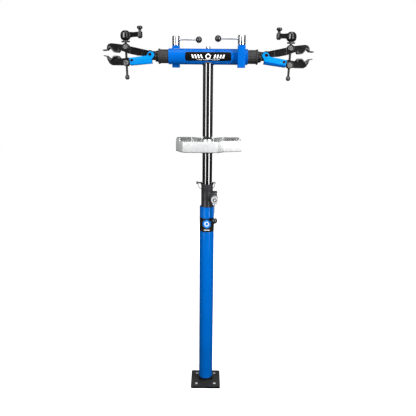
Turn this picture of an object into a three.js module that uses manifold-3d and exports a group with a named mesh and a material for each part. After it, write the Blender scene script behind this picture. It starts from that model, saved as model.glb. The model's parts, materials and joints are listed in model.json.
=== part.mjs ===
// Two-arm bike repair stand: a floor plate, a telescoping upright with a tool tray, and a cross bar
// that carries a screw-operated jaw clamp at each end. Millimetres, +Z up, X along the cross bar,
// -Y is the front. The origin is on the floor, on the axis of the upright.
import * as THREE from 'three';
import { mergeVertices } from 'three/addons/utils/BufferGeometryUtils.js';
import Module from 'manifold-3d';

const wasm = await Module();
wasm.setup();

// Driving dimensions
const gap = 0.3; // between pieces that touch
const slip = 0.6; // extra radius of a hole that a bolt passes through
const overshoot = 1; // how far a cutting tool runs past the face that it cuts

const plateSide = 134;
const plateThickness = 9.8;
const plateCorner = 8;
const floorBoltRadius = 5.5;
const floorBoltSpacing = 83;
const markRadius = 2.2;
const markInset = 8;

const postRadius = 31.1;
const postWall = 3;
const postFoot = 19.4; // height of the bottom of the outer post above the floor plate
const postTop = 847;
const socketWall = 4;
const socketReach = 100; // of the socket inside the post
const weldHeight = 7;
const weldSpread = 6;

const mastRadius = 20.65;
const mastWall = 2.6;
const mastBottom = 560;
const pinHolePitch = 50;
const spareHoles = 4;
const plugLength = 45;

const collarWall = 4.05;
const collarRadius = mastRadius + gap + collarWall;
const collarTop = 944.5;
const collarReach = 70;
const rimHeight = 3;
const rimSpread = 2.5;
const earReach = collarRadius + 18; // of the pinch ears, from the post axis
const earHalfWidth = 20;
const earBottom = 861;
const earTop = 909;
const earSlot = 4;
const pinchBoltX = collarRadius + 7;
const boltRadius = 5;
const boltHeadRadius = 8.5;
const boltHeadHeight = 6;

const hubRadius = 15; // of a lock lever's chromed hub
const hubHeight = 37;
const hubChamfer = 1.6;
const hubLeverDrop = 13.5; // lever's distance below the hub's top
const hubBoltReach = 19;
const leverRadius = 3;
const leverLength = 92;
const ballRadius = 12.7;

const pinRadius = 3.4;
const pinTip = 2;
const pinLeft = -collarRadius - 21;
const pinRight = collarRadius + 11;
const pinHeadRadius = 5.6;
const pinHeadLength = 6;
const wireRadius = 1.3;
const bailDrop = 36;
const bailBack = collarRadius + 8;

const barHeight = 1460; // axis of the cross bar above the floor
const barRadius = 30.5;
const barWall = 3.5;
const barHalfLength = 157;
const barBoltHeadHeight = 8;
const barBoltHeadRadius = 10;

const lugInset = 27; // of the lock lugs, from the bar's end
const lugY = barRadius + 7;
const lugWidth = 30;
const lugHalfHeight = 42.5;
const lugRoof = 6;
const lugBoreRadius = 13;
const wedgeBottom = -35;
const wedgeTop = -2;

// Along each arm, x is measured outwards from the bar's end
const sleeveStart = -57;
const sleeveEnd = 40;
const sleeveRim = 7;
const sleeveRimSpread = 2.8;
const shaftRadius = 19;
const shaftWall = 4;
const shaftStart = -112;
const spigotRadius = 9;
const spigotLength = 19;
const ringRadius = 21.8;
const ringWidth = 5;
const neckRadius = 21;
const neckWidth = 6;

const jawHalfWidth = 17;
const waistHalfWidth = 13; // of the castings between the bracket's cheeks
const coverHalfWidth = 22;
const coverThickness = 4;
const waistEnd = 105; // of the upper casting, where the bracket's cheeks stop
const pivot = { x: 73, z: 7 };
const upperTrunnion = { x: 169, z: 33.5, radius: 9, boss: 14.5 };
const lowerTrunnion = { x: 168, z: -27, radius: 10, boss: 13 };
const bracketBolt = { x: 145, z: -16, radius: 4, head: 5 };
const bracketRoot = { x: 65, z: -28.5 }; // the ends of the bracket's bottom
const bracketTip = { x: 151, z: -37 };
const bracketMouth = 70; // where the cheeks' bottom starts to be joined
const cheekTip = 155;
const jawReach = 60; // further from the bar's axis than any edge of the castings
const pivotBolt = { radius: 5, head: 6 };
const capHeight = 2.5; // of those bolts' low heads
const bracketWall = 3;
const trunnionHalfLength = 17.8;
const rodRadius = 4.75;
const rodSlotHalfLength = rodRadius + 5.75;
const rodSlotHalfWidth = rodRadius + 1.85;
const rodTop = 50;
const rodBottom = -116;
const nutSlip = 0.5; // the lower trunnion is bored loose, so the screw can lean in it
const rodEndRadius = 9;

const crankRadius = 57.5;
const crankBossRadius = 10;
const crankBossBottom = 33;
const crankBossTop = 58;
const crankBossRound = 6;
const crankArmHalfWidth = 8;
const wingHalfLength = 16.5; // of the cast bar under the crank's head
const wingHalfWidth = 4;
const wingBottom = 18;
const wingTop = 24;
const knobPinRadius = 4;
const knobPinReach = 20;

const trayFloor = 1096;
const trayBottom = 1089.5;
const trayTop = 1134;
const traySheet = 1.8;
const trayLip = 8;
const trayNotchRadius = mastRadius + 4.65;
const trayCollarHeight = 12;
const trayCollarRadius = trayNotchRadius + 7.7;
const trayHubRise = 20;
const trayBossReach = 40;
const trayBossHalf = 6;
const trayScrewDrop = 13; // of the thumbscrew below the collar's top, so the knob clears the tray
const trayScrewRadius = 3;
const trayKnobRadius = 9;
const trayKnobLength = 12;

const degree = Math.PI / 180;
const fine = 24; // facets round the large tubes
const medium = 16;
const coarse = 12;

// Finishes
function finish(color, roughness, metalness) {
  return new THREE.MeshStandardMaterial({ color, roughness, metalness });
}

const bluePaint = finish(0x0a6de0, 0.3, 0.1);
const bracketPaint = finish(0x0a9af5, 0.35, 0.1);
const glossBlack = finish(0x0b0c0e, 0.2, 0.2);
const castBlack = finish(0x1b1c1e, 0.55, 0.2);
const sleevePlastic = finish(0x2c2826, 0.6, 0);
const chrome = finish(0xe8eaec, 0.1, 1);
const zincSteel = finish(0x9a9c9e, 0.35, 1);
const darkSteel = finish(0x2a2826, 0.45, 0.8);
const ballPlastic = finish(0x070707, 0.15, 0);
const jawRubber = finish(0x3a3a3c, 0.8, 0);
const traySteel = finish(0xd5d8da, 0.25, 1);

// Solids
function solidOf(geometry) {
  const bare = geometry.clone();
  bare.deleteAttribute('normal');
  bare.deleteAttribute('uv');
  const merged = mergeVertices(bare, 1e-4);
  const vertProperties = new Float32Array(merged.attributes.position.array);
  const triVerts = new Uint32Array(merged.index.array);
  return new wasm.Manifold(new wasm.Mesh({ numProp: 3, vertProperties, triVerts }));
}

function geometryOf(solid) {
  const mesh = solid.getMesh();
  const geometry = new THREE.BufferGeometry();
  geometry.setAttribute('position', new THREE.BufferAttribute(mesh.vertProperties, 3));
  geometry.setIndex(new THREE.BufferAttribute(mesh.triVerts, 1));
  geometry.computeVertexNormals();
  return geometry;
}

function join(...pieces) {
  return geometryOf(pieces.map(solidOf).reduce((whole, piece) => whole.add(piece)));
}

function cut(base, ...tools) {
  return geometryOf(tools.map(solidOf).reduce((rest, tool) => rest.subtract(tool), solidOf(base)));
}

function at(x, y, z) {
  return new THREE.Vector3(x, y, z);
}

// A solid of revolution: rows of [radius, height], from the axis at the foot to the axis at the top
function turned(profile, foot, direction, sides = medium) {
  const rows = profile.map(([radius, height]) => new THREE.Vector2(radius, height));
  const geometry = new THREE.LatheGeometry(rows, sides);
  const turn = new THREE.Quaternion().setFromUnitVectors(at(0, 1, 0), direction.clone().normalize());
  return geometry.applyQuaternion(turn).translate(foot.x, foot.y, foot.z);
}

function rod(radius, start, end, sides = medium) {
  const run = end.clone().sub(start);
  const profile = [[0, 0], [radius, 0], [radius, run.length()], [0, run.length()]];
  return turned(profile, start, run, sides);
}

// A round bore that runs past both ends of the piece
function bore(radius, start, end, sides = medium) {
  const extra = end.clone().sub(start).setLength(overshoot);
  return rod(radius, start.clone().sub(extra), end.clone().add(extra), sides);
}

function tube(outer, inner, start, end, sides = fine) {
  return cut(rod(outer, start, end, sides), bore(inner, start, end, sides));
}

function block(low, high) {
  const size = high.clone().sub(low);
  const middle = high.clone().add(low).multiplyScalar(0.5);
  return new THREE.BoxGeometry(size.x, size.y, size.z).translate(middle.x, middle.y, middle.z);
}

function shapeOf(outline) {
  return new THREE.Shape(outline.map(([across, up]) => new THREE.Vector2(across, up)));
}

// A flat shape drawn in X and Y, from one height to another
function slab(shape, bottom, top, curveSegments = 8) {
  const settings = { depth: top - bottom, bevelEnabled: false, curveSegments };
  return new THREE.ExtrudeGeometry(shape, settings).translate(0, 0, bottom);
}

// A flat outline drawn in X and Z, reaching halfWidth to the front and to the back
function panel(outline, halfWidth) {
  const settings = { depth: 2 * halfWidth, bevelEnabled: false };
  const geometry = new THREE.ExtrudeGeometry(shapeOf(outline), settings);
  return geometry.rotateX(Math.PI / 2).translate(0, halfWidth, 0);
}

// The same path moved sideways by a distance, to the right of its direction of travel
function offsetPath(points, distance, closed = false) {
  const last = points.length - 1;
  return points.map(([x, y], index) => {
    const before = points[index > 0 ? index - 1 : closed ? last : 0];
    const after = points[index < last ? index + 1 : closed ? 0 : last];
    const arriving = new THREE.Vector2(x - before[0], y - before[1]);
    const leaving = new THREE.Vector2(after[0] - x, after[1] - y);
    const first = arriving.length() > 0 ? arriving.normalize() : leaving.clone().normalize();
    const second = leaving.length() > 0 ? leaving.normalize() : first;
    const middle = first.clone().add(second).normalize();
    const reach = distance / middle.dot(first);
    return [x + middle.y * reach, y - middle.x * reach];
  });
}

function add(parent, name, geometry, material) {
  const mesh = new THREE.Mesh(geometry, material);
  mesh.name = name;
  parent.add(mesh);
}

// Floor plate and the socket welded to it
const postBottom = plateThickness + postFoot;
const postBore = postRadius - postWall;

function roundedSquare(side, corner) {
  const half = side / 2;
  const shape = new THREE.Shape();
  shape.moveTo(half - corner, -half);
  shape.absarc(half - corner, corner - half, corner, -Math.PI / 2, 0);
  shape.absarc(half - corner, half - corner, corner, 0, Math.PI / 2);
  shape.absarc(corner - half, half - corner, corner, Math.PI / 2, Math.PI);
  shape.absarc(corner - half, corner - half, corner, Math.PI, Math.PI * 1.5);
  return shape;
}

function addBase(parent) {
  const plate = slab(roundedSquare(plateSide, plateCorner), 0, plateThickness, 3);
  const holeAt = (x, y, radius) => bore(radius, at(x, y, 0), at(x, y, plateThickness), coarse);
  const reach = floorBoltSpacing / 2;
  const boltHoles = [-reach, reach].flatMap((x) => [-reach, reach].map((y) => holeAt(x, y, floorBoltRadius)));
  const markReach = plateSide / 2 - markInset;
  const marks = [-markReach, markReach].map((x) => holeAt(x, 0, markRadius));
  add(parent, 'base_plate', cut(plate, ...boltHoles, ...marks), castBlack);

  const radius = postBore - gap;
  const foot = plateThickness + gap;
  const top = postBottom + socketReach;
  const weld = [[0, 0], [radius + weldSpread, 0], [radius, weldHeight], [radius, top - foot], [0, top - foot]];
  const socket = cut(
    turned(weld, at(0, 0, foot), at(0, 0, 1), fine),
    bore(radius - socketWall, at(0, 0, foot), at(0, 0, top), fine),
  );
  add(parent, 'base_socket', socket, castBlack);
}

function addOuterPost(parent) {
  const post = tube(postRadius, postBore, at(0, 0, postBottom), at(0, 0, postTop));
  add(parent, 'outer_post', post, bluePaint);
}

// Split collar in the top of the outer post, its pinch bolt and its lock lever
const pinchHeight = (earBottom + earTop) / 2;

function addCollar(parent) {
  const bottom = postTop - collarReach;
  const insideRadius = postBore - gap;
  const seat = postTop - bottom;
  const height = collarTop - bottom;
  const profile = [
    [0, 0],
    [insideRadius, 0],
    [insideRadius, seat],
    [collarRadius, seat + gap],
    [collarRadius, height - rimHeight],
    [collarRadius + rimSpread, height - rimHeight],
    [collarRadius + rimSpread, height],
    [0, height],
  ];
  const body = turned(profile, at(0, 0, bottom), at(0, 0, 1), fine);
  const ears = block(at(0, -earHalfWidth, earBottom), at(earReach, earHalfWidth, earTop));
  const slot = block(
    at(0, -earSlot / 2, earBottom - overshoot),
    at(earReach + overshoot, earSlot / 2, collarTop + overshoot),
  );
  const collar = cut(
    join(body, ears),
    slot,
    bore(mastRadius + gap, at(0, 0, bottom), at(0, 0, collarTop), fine),
    bore(boltRadius + slip, at(pinchBoltX, -earHalfWidth, pinchHeight), at(pinchBoltX, earHalfWidth, pinchHeight)),
  );
  add(parent, 'height_collar', collar, castBlack);

  const boltFoot = at(pinchBoltX, earHalfWidth + gap + boltHeadHeight, pinchHeight);
  const shank = boltHeadHeight + 2 * (earHalfWidth + gap) + hubBoltReach - gap;
  add(parent, 'height_bolt', headedBolt(shank, boltFoot, at(0, -1, 0)), darkSteel);
}

// A hexagon bolt: its head starts at the foot, and the whole bolt is length long
function headedBolt(length, foot, direction) {
  const head = [[0, 0], [boltHeadRadius, 0], [boltHeadRadius, boltHeadHeight], [0, boltHeadHeight]];
  const shank = [[0, 0], [boltRadius, 0], [boltRadius, length], [0, length]];
  return join(turned(head, foot, direction, 6), turned(shank, foot, direction));
}

// A lock lever: a chromed hub that stands on +Z, and a rod with a ball that points to -X
function addLockLever(parent, name) {
  const up = at(0, 0, 1);
  const leverHeight = hubHeight - hubLeverDrop;
  const leverRoot = hubRadius / 2;
  const profile = [
    [0, 0],
    [hubRadius - hubChamfer, 0],
    [hubRadius, hubChamfer],
    [hubRadius, hubHeight - hubChamfer],
    [hubRadius - hubChamfer, hubHeight],
    [0, hubHeight],
  ];
  const hub = cut(
    turned(profile, at(0, 0, 0), up, fine),
    rod(boltRadius + gap, at(0, 0, -overshoot), at(0, 0, hubBoltReach + gap)),
    rod(leverRadius + gap, at(-leverRoot, 0, leverHeight), at(-hubRadius - overshoot, 0, leverHeight), coarse),
  );
  add(parent, `${name}_hub`, hub, chrome);

  const ballCentre = at(-leverLength, 0, leverHeight);
  const lever = rod(leverRadius, at(-leverRoot - gap, 0, leverHeight), ballCentre, coarse);
  add(parent, `${name}_rod`, lever, chrome);

  const ball = new THREE.SphereGeometry(ballRadius, medium, coarse).translate(ballCentre.x, 0, leverHeight);
  const socket = rod(leverRadius + gap, at(-leverLength - gap, 0, leverHeight), at(0, 0, leverHeight), coarse);
  add(parent, `${name}_ball`, cut(ball, socket), ballPlastic);
}

function addHeightLever(parent) {
  const group = new THREE.Group();
  const turn = new THREE.Matrix4().makeBasis(at(0, 0, 1), at(-1, 0, 0), at(0, -1, 0));
  group.setRotationFromMatrix(turn);
  group.position.set(pinchBoltX, -earHalfWidth - gap, pinchHeight);
  addLockLever(group, 'height_lever');
  parent.add(group);
}

// Hitch pin through the mast, resting on the collar, with its wire bail
const pinHeight = collarTop + gap + pinRadius;

function addHitchPin(parent) {
  const length = pinRight - pinLeft;
  const profile = [
    [0, 0],
    [pinHeadRadius, 0],
    [pinHeadRadius, pinHeadLength],
    [pinRadius, pinHeadLength],
    [pinRadius, length - pinTip],
    [pinRadius - pinTip, length],
    [0, length],
  ];
  add(parent, 'hitch_pin', turned(profile, at(pinLeft, 0, pinHeight), at(1, 0, 0), coarse), zincSteel);

  const eyeRadius = pinRadius + gap + wireRadius;
  const eyeAt = (x) => tube(eyeRadius + wireRadius, pinRadius + gap, at(x - wireRadius, 0, pinHeight),
    at(x + wireRadius, 0, pinHeight), coarse);
  const leftEye = pinLeft + pinHeadLength + gap + wireRadius;
  const rightEye = pinRight - 2 * gap - 2 * wireRadius;
  const middle = (leftEye + rightEye) / 2;
  const path = new THREE.CatmullRomCurve3([
    at(leftEye, eyeRadius * 0.7, pinHeight - eyeRadius * 0.7),
    at(leftEye, bailBack * 0.4, pinHeight - bailDrop * 0.5),
    at(leftEye * 0.72, bailBack * 0.8, pinHeight - bailDrop * 0.9),
    at(middle, bailBack, pinHeight - bailDrop),
    at(rightEye * 0.78, bailBack * 0.85, pinHeight - bailDrop * 0.86),
    at(rightEye, bailBack * 0.45, pinHeight - bailDrop * 0.45),
    at(rightEye, eyeRadius * 0.7, pinHeight - eyeRadius * 0.7),
  ]);
  const section = new THREE.Shape().absarc(0, 0, wireRadius, 0, Math.PI * 2);
  const wire = new THREE.ExtrudeGeometry(section, { steps: 20, extrudePath: path, curveSegments: 3 });
  add(parent, 'pin_bail', join(wire, eyeAt(leftEye), eyeAt(rightEye)), zincSteel);
}

// Sliding mast, its top plug and the cross bar that is bolted down on them
function addMast(parent) {
  const saddle = bore(barRadius + gap, at(-mastRadius, 0, barHeight), at(mastRadius, 0, barHeight), fine);
  const holes = Array.from({ length: spareHoles + 1 }, (_, index) => {
    const height = pinHeight - index * pinHolePitch;
    return bore(pinRadius + gap, at(-mastRadius, 0, height), at(mastRadius, 0, height), coarse);
  });
  const bottom = at(0, 0, mastBottom);
  const top = at(0, 0, barHeight);
  const mastBore = mastRadius - mastWall;
  add(parent, 'mast', cut(tube(mastRadius, mastBore, bottom, top), saddle, ...holes), glossBlack);

  const barUnderside = barHeight - barRadius;
  const boltEnd = barUnderside - plugLength + 2 * boltRadius;
  const plug = cut(
    rod(mastBore - gap, at(0, 0, barUnderside - plugLength), top),
    saddle,
    rod(boltRadius + gap, at(0, 0, boltEnd - gap), top),
  );
  add(parent, 'mast_plug', plug, zincSteel);

  const headTop = barHeight + barRadius + gap + barBoltHeadHeight;
  const head = [
    [0, 0],
    [barBoltHeadRadius, 0],
    [barBoltHeadRadius, barBoltHeadHeight],
    [0, barBoltHeadHeight],
  ];
  const down = at(0, 0, -1);
  const bolt = join(turned(head, at(0, 0, headTop), down, 6), rod(boltRadius, at(0, 0, headTop), at(0, 0, boltEnd)));
  add(parent, 'bar_bolt', bolt, chrome);
}

// The bar is one weldment with its two lock lugs, the right one in front and the left one behind
function addBar(parent) {
  const barBore = barRadius - barWall;
  const reach = at(barHalfLength, 0, 0);
  const lugs = [];
  const bores = [];
  for (const side of [1, -1]) {
    const centre = at((barHalfLength - lugInset) * side, -lugY * side, 0);
    const half = at(lugWidth / 2, lugWidth / 2, lugHalfHeight);
    lugs.push(block(centre.clone().sub(half), centre.clone().add(half)));
    const roof = lugHalfHeight - lugRoof;
    bores.push(rod(lugBoreRadius, at(centre.x, centre.y, -lugHalfHeight - overshoot), at(centre.x, centre.y, roof)));
    bores.push(bore(boltRadius + slip, at(centre.x, centre.y, roof), at(centre.x, centre.y, lugHalfHeight)));
  }
  const bar = cut(
    join(rod(barRadius, reach.clone().negate(), reach, fine), ...lugs),
    bore(barBore, reach.clone().negate(), reach, fine),
    bore(boltRadius + slip, at(0, 0, -barRadius), at(0, 0, barRadius)),
    ...bores,
  );
  add(parent, 'bar', bar.translate(0, 0, barHeight), bluePaint);
}

// Tool tray: a folded sheet with a notch round the mast, on a collar with a thumbscrew
function trayOutline() {
  const steps = 8;
  const round = Array.from({ length: steps + 1 }, (_, index) => {
    const angle = -(index / steps) * Math.PI;
    return [trayNotchRadius * Math.cos(angle), trayNotchRadius * Math.sin(angle)];
  });
  return [
    [-129, 50],
    [-119, 60],
    [-67, 60],
    [-trayNotchRadius, 30],
    ...round.reverse(),
    [trayNotchRadius, 30],
    [64, 60],
    [123, 60],
    [133, 50],
    [138, -54],
    [66, -76],
    [40, -100],
    [-98, -100],
    [-128, -46],
  ];
}

function addTray(parent) {
  const outline = trayOutline();
  const inside = shapeOf(offsetPath(outline, traySheet, true));
  const underside = shapeOf(offsetPath(outline, trayLip, true));
  const tray = cut(
    slab(shapeOf(outline), trayBottom, trayTop),
    slab(inside, trayFloor, trayTop + overshoot),
    slab(underside, trayBottom - overshoot, trayFloor - traySheet),
  );
  add(parent, 'tray', tray, traySteel);

  const top = trayBottom - gap;
  const bottom = top - trayCollarHeight;
  const screwHeight = top - trayScrewDrop;
  const flange = rod(trayCollarRadius, at(0, 0, bottom), at(0, 0, top), fine);
  const hub = rod(trayNotchRadius - 2 * gap, at(0, 0, bottom), at(0, 0, top + trayHubRise), fine);
  const boss = block(at(-trayBossHalf, 0, screwHeight - trayBossHalf), at(trayBossHalf, trayBossReach, top));
  const collar = cut(
    join(flange, hub, boss),
    bore(mastRadius + gap, at(0, 0, screwHeight - trayBossHalf), at(0, 0, top + trayHubRise), fine),
    rod(trayScrewRadius + gap, at(0, 0, screwHeight), at(0, trayBossReach + overshoot, screwHeight), coarse),
  );
  add(parent, 'tray_collar', collar, castBlack);

  const screwStart = mastRadius + gap;
  const knobStart = trayBossReach + gap - screwStart;
  const profile = [
    [0, 0],
    [trayScrewRadius, 0],
    [trayScrewRadius, knobStart],
    [trayKnobRadius, knobStart],
    [trayKnobRadius, knobStart + trayKnobLength],
    [0, knobStart + trayKnobLength],
  ];
  const knob = turned(profile, at(0, screwStart, screwHeight), at(0, 1, 0), coarse);
  add(parent, 'tray_knob', knob, ballPlastic);
}

// One clamp arm, drawn for the right-hand end: x runs outwards from the bar's end, z is above its axis
const sleeveRadius = barRadius - barWall - gap;
const ringStart = sleeveEnd + gap;
const neckStart = ringStart + ringWidth + gap;
const neckEnd = neckStart + neckWidth;

// Gripping faces of the jaws: the upper one from its tip inwards, the lower one from its root outwards
const upperGrip = [[257.5, 18.5], [241, 20.5], [230.5, 31.5], [215, 13], [197, 12], [191, 20]];
const lowerGrip = [[191, -9], [199, 0.5], [215, 0.5], [229, -13.2], [243, 0.5], [254.5, 2]];

function along(point, y) {
  return at(point.x, y, point.z);
}

function addArmCore(parent, name) {
  const sleeveProfile = [
    [0, 0],
    [sleeveRadius, 0],
    [sleeveRadius, sleeveEnd - sleeveRim - sleeveStart],
    [sleeveRadius + sleeveRimSpread, sleeveEnd - sleeveRim - sleeveStart],
    [sleeveRadius + sleeveRimSpread, sleeveEnd - sleeveStart],
    [0, sleeveEnd - sleeveStart],
  ];
  const outward = at(1, 0, 0);
  const sleeve = cut(
    turned(sleeveProfile, at(sleeveStart, 0, 0), outward, fine),
    bore(shaftRadius + gap, at(sleeveStart, 0, 0), at(sleeveEnd, 0, 0), fine),
  );
  add(parent, `${name}_sleeve`, sleeve, sleevePlastic);

  const shoulder = neckStart - gap - shaftStart;
  const shaftProfile = [
    [0, 0],
    [shaftRadius, 0],
    [shaftRadius, shoulder],
    [spigotRadius, shoulder],
    [spigotRadius, shoulder + spigotLength],
    [0, shoulder + spigotLength],
  ];
  const shaft = cut(
    turned(shaftProfile, at(shaftStart, 0, 0), outward, fine),
    rod(shaftRadius - shaftWall, at(shaftStart - overshoot, 0, 0), at(sleeveEnd - shaftWall, 0, 0)),
  );
  add(parent, `${name}_shaft`, shaft, zincSteel);

  const ring = tube(ringRadius, shaftRadius + gap, at(ringStart, 0, 0), at(ringStart + ringWidth, 0, 0));
  add(parent, `${name}_neck_ring`, ring, zincSteel);
}

function addUpperJaw(parent, name) {
  const outline = [
    [neckStart, 19],
    [68, 19.5],
    [158, 38],
    [185, 43.5],
    [224, 47.5],
    [235, 44.5],
    [241, 37],
    ...offsetPath(upperGrip, coverThickness + gap).slice(1),
    [187, 20],
    [158, 9],
    [124, 2],
    [90, 0],
    [79, -6],
    [65, -14],
    [neckStart, -17],
  ];
  const socketEnd = neckStart + spigotLength + gap;
  const boss = upperTrunnion;
  const body = join(
    panel(outline, jawHalfWidth),
    rod(boss.boss, along(boss, -jawHalfWidth), along(boss, jawHalfWidth)),
    rod(pivot.z + spigotRadius, along(pivot, -waistHalfWidth), along(pivot, waistHalfWidth)),
    rod(neckRadius, at(neckStart, 0, 0), at(neckEnd, 0, 0), fine),
  );
  const waist = (side) => block(
    at(neckEnd, side > 0 ? waistHalfWidth : -neckRadius, -neckRadius),
    at(waistEnd, side > 0 ? neckRadius : -waistHalfWidth, neckRadius * 2),
  );
  const pocketOutline = [[waistEnd - 1, -4], [waistEnd - 1, 22], [149, 33], [149, 2]];
  const pocket = (side) => panel(pocketOutline, (jawHalfWidth - waistHalfWidth) / 2 + gap)
    .translate(0, side * (jawHalfWidth + waistHalfWidth) / 2, 0);
  const jaw = cut(
    body,
    waist(1),
    waist(-1),
    pocket(1),
    pocket(-1),
    rod(spigotRadius + gap, at(neckStart - overshoot, 0, 0), at(socketEnd, 0, 0)),
    bore(pivotBolt.radius + gap, along(pivot, -waistHalfWidth), along(pivot, waistHalfWidth)),
    bore(boss.radius + gap, along(boss, -jawHalfWidth), along(boss, jawHalfWidth)),
    block(
      at(boss.x - rodSlotHalfLength, -rodSlotHalfWidth, 0),
      at(boss.x + rodSlotHalfLength, rodSlotHalfWidth, boss.z + boss.boss + overshoot),
    ),
  );
  add(parent, `${name}_upper_jaw`, jaw, castBlack);

  const coverOutline = [...upperGrip, ...offsetPath(upperGrip, coverThickness).reverse()];
  add(parent, `${name}_upper_jaw_cover`, panel(coverOutline, coverHalfWidth), jawRubber);
}

// A cross pin that the screw passes through, drawn in the screw's own frame
function crossPin(radius, boreRadius) {
  const body = rod(radius, at(0, -trunnionHalfLength, 0), at(0, trunnionHalfLength, 0));
  return cut(body, bore(boreRadius, at(0, 0, -radius), at(0, 0, radius), coarse));
}

function addScrew(parent, name, crankTurn) {
  add(parent, `${name}_upper_trunnion`, crossPin(upperTrunnion.radius, rodRadius + gap), zincSteel);
  add(parent, `${name}_screw`, rod(rodRadius, at(0, 0, rodBottom), at(0, 0, rodTop), coarse), darkSteel);

  const endProfile = [
    [0, 0],
    [rodEndRadius * 0.6, rodEndRadius * 0.25],
    [rodEndRadius, rodEndRadius],
    [rodEndRadius * 0.9, rodEndRadius * 1.6],
    [rodEndRadius * 0.65, rodEndRadius * 2],
    [0, rodEndRadius * 2],
  ];
  const end = cut(
    turned(endProfile, at(0, 0, rodBottom - rodEndRadius), at(0, 0, 1), medium),
    rod(rodRadius + gap, at(0, 0, rodBottom - gap), at(0, 0, rodBottom + 2 * rodEndRadius), coarse),
  );
  add(parent, `${name}_screw_end`, end, ballPlastic);

  const crank = new THREE.Group();
  crank.rotation.z = crankTurn;
  parent.add(crank);
  const headProfile = [
    [0, 18],
    [9, 18],
    [9, 26],
    [15, 28],
    [19.5, 35],
    [20.5, 45],
    [18, 55],
    [11, 62],
    [0, 64],
  ];
  const armOutline = [
    [-8, 35],
    [-30, 38],
    [-crankRadius, crankBossBottom + crankBossRound],
    [-crankRadius, crankBossTop],
    [-30, 56],
    [-8, 58],
  ];
  const bossProfile = [
    [0, 0],
    [crankBossRound, 0],
    [crankBossRadius, crankBossRound],
    [crankBossRadius, crankBossTop - crankBossBottom],
    [0, crankBossTop - crankBossBottom],
  ];
  const boss = turned(bossProfile, at(-crankRadius, 0, crankBossBottom), at(0, 0, 1));
  const wings = block(at(-wingHalfLength, -wingHalfWidth, wingBottom), at(wingHalfLength, wingHalfWidth, wingTop));
  const pinFoot = crankBossTop - knobPinReach;
  const body = cut(
    join(turned(headProfile, at(0, 0, 0), at(0, 0, 1)), panel(armOutline, crankArmHalfWidth), boss, wings),
    rod(rodRadius + gap, at(0, 0, 0), at(0, 0, rodTop + gap), coarse),
    rod(knobPinRadius + gap, at(-crankRadius, 0, pinFoot - gap), at(-crankRadius, 0, crankBossTop + overshoot), coarse),
  );
  add(crank, `${name}_crank`, body, castBlack);

  const knobProfile = [
    [0, 0],
    [knobPinRadius, 0],
    [knobPinRadius, knobPinReach + gap],
    [5.5, knobPinReach + gap],
    [5.5, knobPinReach + 9],
    [10.5, knobPinReach + 11],
    [11.5, knobPinReach + 16],
    [9, knobPinReach + 20.5],
    [0, knobPinReach + 22.5],
  ];
  const knob = turned(knobProfile, at(-crankRadius, 0, pinFoot), at(0, 0, 1));
  add(crank, `${name}_crank_knob`, knob, ballPlastic);
}

// A low-headed bolt across the arm, from one cheek of the bracket to the other
function crossBolt(place, radius, head) {
  const reach = waistHalfWidth + gap + bracketWall + gap;
  const profile = [
    [0, 0],
    [head, 0],
    [head, capHeight],
    [radius, capHeight],
    [radius, capHeight + 2 * reach],
    [head, capHeight + 2 * reach],
    [head, 2 * (capHeight + reach)],
    [0, 2 * (capHeight + reach)],
  ];
  return turned(profile, along(place, -reach - capHeight), at(0, 1, 0), coarse);
}

function addLowerJaw(parent, name) {
  const cheekInside = waistHalfWidth + gap;
  const cheekOutside = cheekInside + bracketWall;
  const cheek = [
    [cheekTip, -7],
    [86, 2],
    [81, 13],
    [73, 18.5],
    [62, 17],
    [55.5, 8],
    [57, 0],
    [65.5, -11],
    [67, -19],
    [bracketRoot.x, bracketRoot.z],
    [bracketTip.x, bracketTip.z],
  ];
  const slope = (bracketTip.z - bracketRoot.z) / (bracketTip.x - bracketRoot.x);
  const floorAt = (x) => bracketRoot.z + (x - bracketRoot.x) * slope + bracketWall;
  const farEnd = cheekTip + cheekOutside;
  const hollow = [[0, floorAt(0)], [farEnd, floorAt(farEnd)], [farEnd, jawReach], [0, jawReach]];
  const bracket = cut(
    panel(cheek, cheekOutside),
    panel(hollow, cheekInside),
    block(at(0, -cheekInside, -jawReach), at(bracketMouth, cheekInside, jawReach)),
    bore(pivotBolt.radius + gap, along(pivot, -cheekOutside), along(pivot, cheekOutside)),
    bore(bracketBolt.radius + gap, along(bracketBolt, -cheekOutside), along(bracketBolt, cheekOutside)),
  );
  add(parent, `${name}_bracket`, bracket, bracketPaint);

  const outline = [
    [105, -6],
    [158, -6.5],
    [187, -10],
    ...offsetPath(lowerGrip, coverThickness + gap).slice(0, -1),
    [241, -16],
    [234, -29],
    [224, -36],
    [185, -36.5],
    [156, -34],
    [105, -28],
  ];
  const boss = lowerTrunnion;
  const body = join(
    panel(outline, jawHalfWidth),
    rod(boss.boss, along(boss, -jawHalfWidth), along(boss, jawHalfWidth)),
  );
  const shoulder = cheekTip + 2 * gap;
  const waist = (side) => block(
    at(0, side > 0 ? waistHalfWidth : -coverHalfWidth, -jawReach),
    at(shoulder, side > 0 ? coverHalfWidth : -waistHalfWidth, jawReach),
  );
  const jaw = cut(
    body,
    waist(1),
    waist(-1),
    bore(bracketBolt.radius + gap, along(bracketBolt, -waistHalfWidth), along(bracketBolt, waistHalfWidth)),
    bore(boss.radius + gap, along(boss, -jawHalfWidth), along(boss, jawHalfWidth)),
    block(
      at(boss.x - rodSlotHalfLength, -rodSlotHalfWidth - nutSlip, boss.z - boss.boss - overshoot),
      at(boss.x + rodSlotHalfLength, rodSlotHalfWidth + nutSlip, -boss.z),
    ),
  );
  add(parent, `${name}_lower_jaw`, jaw, castBlack);

  const coverOutline = [...lowerGrip, ...offsetPath(lowerGrip, coverThickness).reverse()];
  add(parent, `${name}_lower_jaw_cover`, panel(coverOutline, coverHalfWidth), jawRubber);
  add(parent, `${name}_bracket_bolt`, crossBolt(bracketBolt, bracketBolt.radius, bracketBolt.head), darkSteel);
}

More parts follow.
